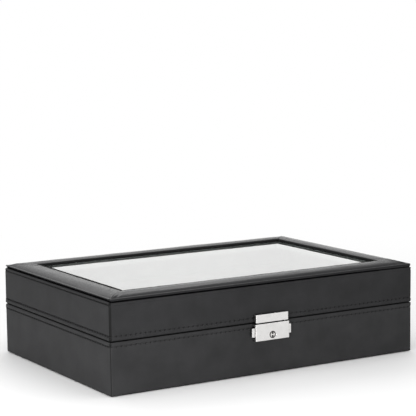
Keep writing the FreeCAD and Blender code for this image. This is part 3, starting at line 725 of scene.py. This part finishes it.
def make_lid_skin():
    """The lid's leather from inside, under the rim and up to the fold below the border."""
    route = Route(HALF_X, HALF_Y, CORNER, PATH_STEP)
    low, high = LID_LOW.z, LID_HIGH.z
    row = low + STITCH_DROP
    edge_line = high - EDGE_DROP
    section = [(WALL, low + TURN_IN), (INNER, low + TURN_IN)]
    section += levels(INNER, low + TURN_IN, low + LIP, INSIDE)
    section += arc_points((INNER - LIP, low + LIP), LIP, 0, -90, 3)
    section += [(HINGE_SEAT + SEAT_STEP, low), (HINGE_SEAT - SEAT_STEP, low)]
    section += [(RIM_FLAT, low)]
    section += arc_points((RIM, low + RIM), RIM, -90, -180, 7)
    section += levels(0.0, low + RIM, row + ROW_ZONE, FINE)
    section += levels(0.0, row + ROW_ZONE, edge_line - EDGE_ZONE, COARSE)
    section += levels(0.0, edge_line - EDGE_ZONE, high - TOP_FOLD, FINE)
    section += arc_points((TOP_FOLD, high - TOP_FOLD), TOP_FOLD, 180, 90, 8)
    section += [(RIM_FLAT, high), (WALL, high)]

    def shape(station, _, inset, height):
        if inset < ON_FACE:
            depth = SIDE_EDGE if station[0] in (RIGHT, LEFT) else FRONT_EDGE
            crease = groove(height, edge_line, depth, EDGE_WIDTH)
            inset = worked_inset(route, station, inset, height, row, low + 0.2, crease)
        if height > edge_line - EDGE_ZONE - 0.1:
            height += by_side((0.0, 0.0, 0.0, LEFT_EDGE_RISE), station)
        if height < low + 1.0 and in_hinge_seat(station, inset):
            height = low + SEAT_DEPTH
        return inset, height

    skin = band("lid_skin", route, section, [SHADED_LID_LEATHER], shape, closed=False)
    finish_skin(skin, LID_SEAM_PAINT, edge_line)
    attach(skin, "lid")
    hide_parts("lid_leather_wrap")
    make_stitches("lid_stitches", "lid", route, row)


def make_stitches(name, body, route, height):
    """A row of short thread stitches that dive into the leather at both ends."""
    rng = random.Random(name)
    verts, faces = [], []
    around, along = 6, 7
    count, pitch = stitch_pitch(route)
    for index in range(count):
        middle = index * pitch + pitch / 2 + rng.uniform(-STITCH_STRAY, STITCH_STRAY)
        tilt = rng.uniform(-STITCH_TILT, STITCH_TILT)
        first = len(verts)
        for step in range(along):
            share = step / (along - 1)
            arch = math.sin(math.pi * share)
            distance = middle + (share - 0.5) * STITCH_LENGTH
            thick = THREAD * (0.45 + 0.55 * arch ** 0.5)
            inset = 0.34 - 0.30 * arch
            rise = height + tilt * (share - 0.5) * 2
            for turn in range(around):
                angle = 2 * math.pi * turn / around
                place = route.at(distance, inset - thick * math.cos(angle))
                verts.append((place.x, place.y, rise + thick * math.sin(angle)))
        for step in range(along - 1):
            for turn in range(around):
                after = (turn + 1) % around
                low, high = first + step * around, first + (step + 1) * around
                faces.append((low + turn, low + after, high + after, high + turn))
    stitches = make_piece(name, verts, faces, [BLACK_THREAD])
    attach(stitches, body)


# ------------------------------------------------------------------ the padded border
def leather_noise(station, inset, lengthwise, crosswise, seed):
    """Unevenness of stretched leather, from -1 to 1, with its size along and across."""
    side, _, _, travelled = station
    return noise.noise(Vector((travelled / lengthwise, inset / crosswise, side * seed)))


def make_padded_border():
    """The stuffed border: skirt, edge crease and a crown that rises towards the glass and
    rolls down to the felt strip round the pane."""
    route = Route(PAD_HIGH.x + PAD_BULGE, PAD_HIGH.y + PAD_BULGE, PAD_CORNER, PAD_STEP)
    low, high = PAD_LOW.z, PAD_HIGH.z
    bed = high - PAD_BED
    low_gap = LID_HIGH.z - low
    skirt = [(RAIL_INSET, low_gap), (1.1, low_gap), (1.0, 0.45), (0.7, 0.5), (0.4, 0.7)]
    skirt += [(0.15, 1.0), (0.0, 1.35)]
    bead = [(0.1, -1.72), (0.4, -1.5), (0.9, -1.38), (1.4, -1.42), (1.8, -1.6), (2.15, -1.85)]
    crown = [(2.6, -1.88), (3.0, -1.68), (3.6, -1.25), (4.4, -0.75), (5.4, -0.28), (6.6, 0.1)]
    crown += [(8.0, 0.42), (9.8, 0.7), (11.8, 0.86), (13.8, 0.88), (15.8, 0.82), (17.6, 0.7)]
    crown += [(19.0, 0.52), (19.9, 0.3), (20.3, 0.02), (20.5, -0.5), (20.55, -1.2)]
    section = [(inset, low + rise) for inset, rise in skirt]
    section += [(inset, high + rise) for inset, rise in bead + crown]
    section += [(STRIP_INSET - 0.1, bed), (RAIL_INSET, bed)]
    first_bead, first_crown = len(skirt), len(skirt) + len(bead)
    last = first_crown + len(crown)

    def shape(station, place, inset, height):
        side, share, _, _ = station
        if 2 <= place < first_bead - 1:
            height -= by_side((SKIRT_DROP, 0.0, 0.0, -SKIRT_RISE), station)
            if side == FRONT:
                height -= SKIRT_DROP * max(0.0, share - SAG_FROM) / SAG_RUN
        if first_bead - 1 <= place < first_crown:
            height += by_side((0.0, 0.0, 0.0, BEAD_RISE), station)
        if not first_crown <= place < last:
            return inset, height
        run = 2 * (HALF_X if side in (FRONT, REAR) else HALF_Y)
        gap = min(share, 1 - share) * run - inset
        streak = leather_noise(station, inset, 42.0, 2.4, 5.1) * 0.20
        lump = leather_noise(station, inset, 15.0, 9.0, 2.3) * 0.12
        ruck = leather_noise(station, inset, 3.4, 9.0, 1) * 0.22
        near = gap < MITRE_REACH
        mitre = MITRE_DEPTH * math.exp(-(gap / MITRE_WIDTH) ** 2) if near else 0.0
        height += streak + lump + ruck * math.exp(-max(gap, 0.0) / RUCK_REACH) - mitre
        if inset > CROWN_TURN:
            shift = by_side((0.0, 0.0, 0.0, CROWN_SHIFT), station)
            inset += shift * (inset - CROWN_TURN) / CROWN_RUN
        return inset, max(height, bed + 0.06)

    border = band("padded_border", route, section, [PAD_LEATHER], shape)
    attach(border, "lid")
    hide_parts("padded_frame")


def make_glazing_strip():
    """The black felt strip that closes the joint between the border and the pane."""
    route = Route(PAD_HIGH.x + PAD_BULGE, PAD_HIGH.y + PAD_BULGE, STRIP_CORNER, STRIP_STEP)
    high = PAD_HIGH.z
    top = high + STRIP_RISE
    bed = high - PAD_BED - 0.02
    section = [(STRIP_END, bed), (STRIP_INSET, bed), (STRIP_INSET, high)]
    section += [(STRIP_INSET + 0.3, top)]
    section += arc_points((STRIP_END - STRIP_EDGE, top - STRIP_EDGE), STRIP_EDGE, 90, 0, 4)

    def shape(station, place, inset, height):
        if place > 1:
            height += wander(station, inset, 9.0, 0.12)
        if inset > STRIP_INSET + 1.0:
            inset += by_side((0.0, 0.0, 0.0, STRIP_SHIFT), station)
        return inset, height

    strip = band("glazing_strip", route, section, [BLACK_FELT], shape)
    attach(strip, "lid")


# ------------------------------------------------------------------ the cushions
def blown_pillow(length, depth, height):
    """A small closed pillow, puffed up by a short cloth simulation."""
    shape = bmesh.new()
    bmesh.ops.create_cube(shape, size=1.0)
    for corner in shape.verts:
        corner.co.x *= (length - PILLOW_START) * MM
        corner.co.y *= (depth - PILLOW_START) * MM
        corner.co.z = (corner.co.z + 0.5) * (height - PILLOW_START) * MM
    mesh = bpy.data.meshes.new("pillow")
    shape.to_mesh(mesh)
    shape.free()
    pillow = bpy.data.objects.new("pillow", mesh)
    bpy.context.scene.collection.objects.link(pillow)
    bpy.context.view_layer.objects.active = pillow
    remesh = pillow.modifiers.new("remesh", "REMESH")
    remesh.mode = "VOXEL"
    remesh.voxel_size = PILLOW_VOXEL * MM
    bpy.ops.object.modifier_apply(modifier=remesh.name)
    puff_up(pillow)
    finer = pillow.modifiers.new("finer", "SUBSURF")
    finer.levels = finer.render_levels = 1
    bpy.ops.object.modifier_apply(modifier=finer.name)
    return pillow


def puff_up(pillow):
    """Blow the pillow up by Cloth with pressure, with a cap on how far a point moves."""
    before = [v.co.copy() for v in pillow.data.vertices]
    cloth = pillow.modifiers.new("cloth", "CLOTH")
    cloth.settings.use_pressure = True
    cloth.settings.uniform_pressure_force = 4.0
    cloth.settings.mass = 0.15
    cloth.settings.effector_weights.gravity = 0.0
    scene = bpy.context.scene
    for step in range(1, CLOTH_STEPS + 1):
        scene.frame_set(step)
    swollen = pillow.evaluated_get(bpy.context.evaluated_depsgraph_get())
    after = [v.co.copy() for v in swollen.data.vertices]
    pillow.modifiers.remove(cloth)
    most = PILLOW_SWELL * MM
    for vertex, old, new in zip(pillow.data.vertices, before, after):
        move = new - old
        if move.length > most:
            move *= most / move.length
        vertex.co = old + move
    scene.frame_set(1)


def fit_pillow(mesh, length, depth, height, seed):
    """Press a pillow into its cell: crowned top, sides drawn in between the corners, a
    flat bed, and a sewn slot for the cufflink's bar."""
    low = Vector([min(v.co[i] for v in mesh.vertices) for i in range(3)])
    high = Vector([max(v.co[i] for v in mesh.vertices) for i in range(3)])
    for vertex in mesh.vertices:
        share = [(vertex.co[i] - low[i]) / (high[i] - low[i]) for i in range(3)]
        x, y = 2 * share[0] - 1, 2 * share[1] - 1
        z = share[2]
        draw_x = 1 - DRAWN_IN * (1 - y * y) * abs(x)
        draw_y = 1 - DRAWN_IN * (1 - x * x) * abs(y)
        px, py = x * draw_x * length / 2, y * draw_y * depth / 2
        pz = z * height
        ripple = noise.noise(Vector((px / 9.0 + seed * 7.1, py / 9.0, pz / 9.0)))
        if z > UPPER_PART:
            edge = max(x * x, y * y) ** 2
            pz -= height * CROWNED * edge * (z - UPPER_PART) / (1 - UPPER_PART)
            reach = max(0.0, 1 - (abs(px) / (length * SLOT_SHARE)) ** 6)
            sewn = math.exp(-((py / SLOT_WIDTH) ** 2))
            pz -= SLOT_DEPTH * reach * sewn * (z - UPPER_PART) / (1 - UPPER_PART)
            pz += ripple * 0.35
        px += ripple * 0.12
        pz = min(max(pz, 0.0), height)
        vertex.co = (px * MM, py * MM, pz * MM)


def make_cushions():
    """Twenty-four cushions, one to a cell, cut from four pillows that differ a little."""
    rows = [node_box(f"cushion_row_{row + 1}") for row in range(CELL_ROWS)]
    low, high = rows[0]
    pitch_x = (high.x - low.x + 2 * CELL_PLAY + DIVIDER) / CELL_COLUMNS
    length = pitch_x - DIVIDER - 2 * CELL_PLAY
    depth, height = high.y - low.y, high.z - low.z
    source = blown_pillow(length, depth, height)
    patterns = []
    for seed in range(PILLOW_PATTERNS):
        mesh = source.data.copy()
        mesh.name = f"cushion_{seed + 1}"
        fit_pillow(mesh, length, depth, height, seed)
        mesh.materials.clear()
        mesh.materials.append(CUSHION_VELVET)
        mesh.polygons.foreach_set("use_smooth", [True] * len(mesh.polygons))
        patterns.append(mesh)
    bpy.data.objects.remove(source)
    for row, (low, high) in enumerate(rows):
        for column in range(CELL_COLUMNS):
            pattern = patterns[(row * 3 + column) % len(patterns)]
            cushion = bpy.data.objects.new(f"cushion_{row + 1}_{column + 1}", pattern)
            middle = low.x + length / 2 + column * pitch_x
            cushion.location = (middle * MM, (low.y + high.y) / 2 * MM, low.z * MM)
            if (row + column) % 2:
                cushion.rotation_euler.z = math.pi
            bpy.context.scene.collection.objects.link(cushion)
            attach(cushion, "base")
            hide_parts(f"cushion_row_{row + 1}")


# ------------------------------------------------------------------ the lock's ring
def make_plug_ring():
    """A blackened ring let into the case round the plug's face."""
    low, high = node_box("lock_plug")
    centre_x, centre_z = (low.x + high.x) / 2, (low.z + high.z) / 2
    case_y = node_box("lock_case")[0].y
    section = [(RING_OUTER, RING_LOW), (RING_OUTER, RING_EDGE)]
    section += [(RING_OUTER - RING_CHAMFER, RING_FACE), (RING_INNER + RING_CHAMFER, RING_FACE)]
    section += [(RING_INNER, RING_EDGE), (RING_INNER, RING_LOW)]
    turns = 64
    verts = []
    for turn in range(turns):
        angle = 2 * math.pi * turn / turns
        for reach, y in section:
            x, z = reach * math.cos(angle), reach * math.sin(angle)
            verts.append((centre_x + x, case_y + y, centre_z + z))
    faces = []
    count = len(section)
    for turn in range(turns):
        after = (turn + 1) % turns
        for j in range(count):
            k = (j + 1) % count
            here, there = turn * count, after * count
            faces.append((here + j, here + k, there + k, there + j))
    ring = make_piece("plug_ring", verts, faces, [BLACKENED])
    tidy(ring)
    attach(ring, "plug")


# ------------------------------------------------------------------ hinge screws
def add_screw(verts, faces, centre, seat_y, face, up):
    """One countersunk cross-head screw: a dished head with its cross, and a short side."""
    rings, turns = 7, 32
    first = len(verts)
    tilt = 0.4 + centre * 0.7
    for ring in range(rings + 1):
        reach = SCREW_RADIUS * ring / rings
        for turn in range(turns):
            angle = 2 * math.pi * turn / turns
            x, y = reach * math.cos(angle), reach * math.sin(angle)
            a = x * math.cos(tilt) + y * math.sin(tilt)
            b = y * math.cos(tilt) - x * math.sin(tilt)
            in_cross = min(abs(a), abs(b)) < CROSS_HALF and reach < CROSS_REACH
            drop = CROSS_DEPTH if in_cross else 0.03 + 0.06 * (reach / SCREW_RADIUS) ** 2
            verts.append((centre + x, seat_y + y, face + up * (SCREW_PROUD - drop)))
    for turn in range(turns):
        angle = 2 * math.pi * turn / turns
        x, y = SCREW_RADIUS * math.cos(angle), SCREW_RADIUS * math.sin(angle)
        verts.append((centre + x, seat_y + y, face - up * SCREW_SUNK))
    for ring in range(rings + 1):
        for turn in range(turns):
            after = (turn + 1) % turns
            here, there = first + ring * turns, first + (ring + 1) * turns
            faces.append((here + turn, there + turn, there + after, here + after))


def make_screws():
    """Two screws in the face of each of the four hinge leaves."""
    for leaf, body, up in (("base", "base", 1), ("lid", "lid", -1)):
        for name in ("left", "right"):
            low, high = node_box(f"hinge_{leaf}_leaf_{name}")
            face = high.z if up > 0 else low.z
            verts, faces = [], []
            for centre in (low.x + SCREW_FROM_END, high.x - SCREW_FROM_END):
                add_screw(verts, faces, centre, low.y + SCREW_FROM_SIDE, face, up)
            screws = make_piece(f"hinge_{leaf}_screws_{name}", verts, faces, [BRIGHT_NICKEL])
            tidy(screws)
            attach(screws, body)


# ------------------------------------------------------------------ the stage
# The camera looks at the middle of the box's foot, then steps right and up.
AZIMUTH, ELEVATION, ROLL = map(math.radians, (-31.21, 7.41, -0.64))
DISTANCE, AIM_RIGHT, AIM_UP = 1393.5, 1.49, 127.66
LENS, SENSOR = 135.3, 36.0
ROOM_LIGHT = 0.70
ROOM_WHITE = 1.0
WHITE = (1.0, 1.0, 1.0, 1.0)
FLOOR_SIZE = 8.0
FLOOR_MELTS = (0.25, 0.75)

# Name, place, aim, size and power of each lamp.
LAMPS = (
    ("overhead", (0.0, -0.3, 1.6), (0.0, 0.0, 0.05), (2.0, 1.6), 11.0),
    ("behind", (0.3, 1.2, 1.3), (0.0, 0.0, 0.05), (1.4, 0.9), 7.5),
    ("front_left", (-0.46, -0.48, 0.14), (-0.12, -0.1, 0.04), (0.25, 0.2), 2.7),
)


def set_camera():
    """The photograph's long lens, low and to the left of the front."""
    back = Vector((
        math.sin(AZIMUTH) * math.cos(ELEVATION),
        -math.cos(AZIMUTH) * math.cos(ELEVATION),
        math.sin(ELEVATION),
    ))
    right = Vector((math.cos(AZIMUTH), math.sin(AZIMUTH), 0.0))
    upward = right.cross(-back)
    rolled_right = right * math.cos(ROLL) + upward * math.sin(ROLL)
    rolled_up = upward * math.cos(ROLL) - right * math.sin(ROLL)
    place = (back * DISTANCE + right * AIM_RIGHT + upward * AIM_UP) * MM
    data = bpy.data.cameras.new("photo_camera")
    data.lens = LENS
    data.sensor_width = SENSOR
    data.clip_end = 50.0
    camera = bpy.data.objects.new("photo_camera", data)
    turn = Matrix((rolled_right, rolled_up, back)).transposed()
    camera.matrix_world = Matrix.Translation(place) @ turn.to_4x4()
    bpy.context.scene.collection.objects.link(camera)
    bpy.context.scene.camera = camera


def add_light(name, place, target, size, power):
    """A square-cornered lamp that the camera doesn't see."""
    data = bpy.data.lights.new(name, "AREA")
    data.shape = "RECTANGLE"
    data.size, data.size_y = size
    data.energy = power
    light = bpy.data.objects.new(name, data)
    light.location = place
    light.rotation_euler = (Vector(target) - Vector(place)).to_track_quat("-Z", "Y").to_euler()
    light.visible_camera = False
    bpy.context.scene.collection.objects.link(light)


def seen_directly(tree):
    """One for what the camera sees, also in mirrors and through glass; nothing for light."""
    path = node(tree, "ShaderNodeLightPath").outputs
    mirrored = reckon(tree, "MAXIMUM", path["Is Camera Ray"], path["Is Glossy Ray"])
    return reckon(tree, "MAXIMUM", mirrored, path["Is Transmission Ray"])


def floor_material():
    """A white sweep: matt under the box, melting into the white room further off."""
    material, tree, surface, where = new_material("pale_floor")
    tone = ramp(tree, grain(tree, where, 3.0, 2.0), (0.3, 0.815), (0.7, 0.835))
    set_surface(surface, Base_Color=tone, Roughness=0.6, Specular_IOR_Level=0.15)
    reach = node(tree, "ShaderNodeVectorMath", {0: where}, operation="LENGTH").outputs["Value"]
    far = node(
        tree, "ShaderNodeMapRange",
        {"Value": reach, "From Min": FLOOR_MELTS[0], "From Max": FLOOR_MELTS[1]},
        interpolation_type="SMOOTHSTEP",
    ).outputs[0]
    glow = node(tree, "ShaderNodeEmission", {"Color": WHITE, "Strength": ROOM_WHITE})
    share = reckon(tree, "MULTIPLY", far, seen_directly(tree))
    both = node(
        tree, "ShaderNodeMixShader",
        {"Fac": share, 1: surface.outputs[0], 2: glow.outputs[0]},
    ).outputs[0]
    tree.links.new(both, tree.nodes["Material Output"].inputs["Surface"])
    return material


def set_stage():
    """The floor, the white room round it and the lamps."""
    bpy.ops.mesh.primitive_plane_add(size=FLOOR_SIZE, location=(0.0, 0.0, 0.0))
    floor = bpy.context.object
    floor.name = "floor"
    floor.data.materials.append(floor_material())
    world = bpy.data.worlds.new("white_room")
    bpy.context.scene.world = world
    world.use_nodes = True
    tree = world.node_tree
    strength = node(
        tree, "ShaderNodeMapRange",
        {"Value": seen_directly(tree), "To Min": ROOM_LIGHT, "To Max": ROOM_WHITE},
    ).outputs[0]
    background = tree.nodes["Background"]
    background.inputs["Color"].default_value = WHITE
    tree.links.new(strength, background.inputs["Strength"])
    for lamp in LAMPS:
        add_light(*lamp)
    bpy.context.scene.view_settings.view_transform = "Standard"


# ------------------------------------------------------------------ the whole picture
dress_nodes()
make_base_skin()
make_lid_skin()
make_padded_border()
make_glazing_strip()
make_cushions()
make_plug_ring()
make_screws()
set_stage()
set_camera()
